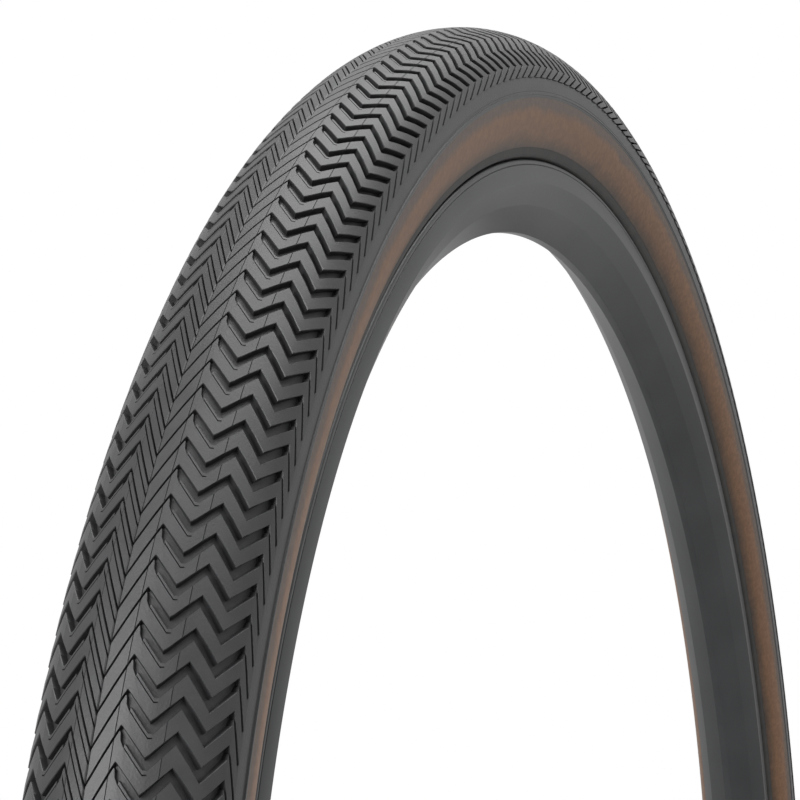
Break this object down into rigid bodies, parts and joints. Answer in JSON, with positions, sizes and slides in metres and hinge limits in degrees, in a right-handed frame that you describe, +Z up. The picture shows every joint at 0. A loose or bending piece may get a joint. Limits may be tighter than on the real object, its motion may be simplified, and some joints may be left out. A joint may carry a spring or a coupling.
{
  "type": "bicycle tire",
  "caption": "Inflated tubeless bicycle tyre with zigzag gravel tread and tan sidewalls, on a plain black rim with its valve.",
  "frame": {"origin": "centre of the wheel, on its axle line, midway between the sidewalls", "axes": "+Y along the wheel's axle to the rider's left, +Z up, +X forwards. The valve is at the bottom, on -Z"},
  "size_m": [0.6819, 0.0462, 0.682],
  "materials": {
    "tread_rubber": "moulded black rubber with a fine matt skin",
    "tan_rubber": "tan rubber skin over cloth",
    "belt_cloth": "woven aramid",
    "casing_cloth": "rubbered nylon cords",
    "butyl_liner": "smooth butyl rubber",
    "chafer_cloth": "rubbered woven strip",
    "aramid_cord": "bundle of aramid cord",
    "black_anodised_rim": "black anodised aluminium, bead blasted",
    "tape_film": "thin polyester film",
    "valve_rubber": "moulded rubber",
    "black_anodised_valve": "black anodised aluminium, turned",
    "gasket_plastic": "white plastic ring",
    "valve_brass": "turned brass"
  },
  "bodies": {
    "wheel": {"tread": "tread_rubber", "puncture_belt": "belt_cloth", "casing_outer_ply": "casing_cloth", "casing_inner_ply": "casing_cloth", "air_liner": "butyl_liner", "sidewall_left": "tan_rubber", "sidewall_right": "tan_rubber", "chafer_left": "chafer_cloth", "chafer_right": "chafer_cloth", "bead_core_left": "aramid_cord", "bead_core_right": "aramid_cord", "rim": "black_anodised_rim", "rim_tape": "tape_film", "valve_foot": "valve_rubber", "valve_stem": "black_anodised_valve", "core_gasket": "gasket_plastic", "core_body": "valve_brass"},
    "nut_washer": {"rim_washer": "valve_rubber"},
    "nut": {"rim_nut": "black_anodised_valve"},
    "cap_seal": {"cap_liner": "valve_rubber"},
    "cap": {"valve_cap": "black_anodised_valve"},
    "pin": {"core_pin": "valve_brass", "pin_seal": "valve_rubber"},
    "tip": {"tip_nut": "valve_brass"}
  },
  "joints": [
    {"name": "rim_nut_travel", "type": "slide", "parent": "wheel", "child": "nut_washer", "axis": [0, 0, 1], "range_m": [0, 0.006]},
    {"name": "rim_nut_turn", "type": "hinge", "parent": "nut_washer", "child": "nut", "pos_m": [0, 0, -0.27], "axis": [0, 0, 1], "range_deg": [0, 2881]},
    {"name": "cap_travel", "type": "slide", "parent": "wheel", "child": "cap_seal", "axis": [0, 0, 1], "range_m": [0, 0.0045]},
    {"name": "cap_turn", "type": "hinge", "parent": "cap_seal", "child": "cap", "pos_m": [0, 0, -0.24], "axis": [0, 0, 1], "range_deg": [0, 2161]},
    {"name": "pin_press", "type": "slide", "parent": "wheel", "child": "pin", "axis": [0, 0, -1], "range_m": [0, 0.002], "stiffness_N_per_m": 400, "springref_m": -0.001},
    {"name": "tip_nut_turn", "type": "hinge", "parent": "pin", "child": "tip", "pos_m": [0, 0, -0.2385], "axis": [0, 0, 1], "range_deg": [-360, 0]}
  ],
  "couplings": [
    {"joint": "rim_nut_turn", "follows": "rim_nut_travel", "rad_per_m": 8377.6},
    {"joint": "cap_turn", "follows": "cap_travel", "rad_per_m": 8377.6}
  ]
}
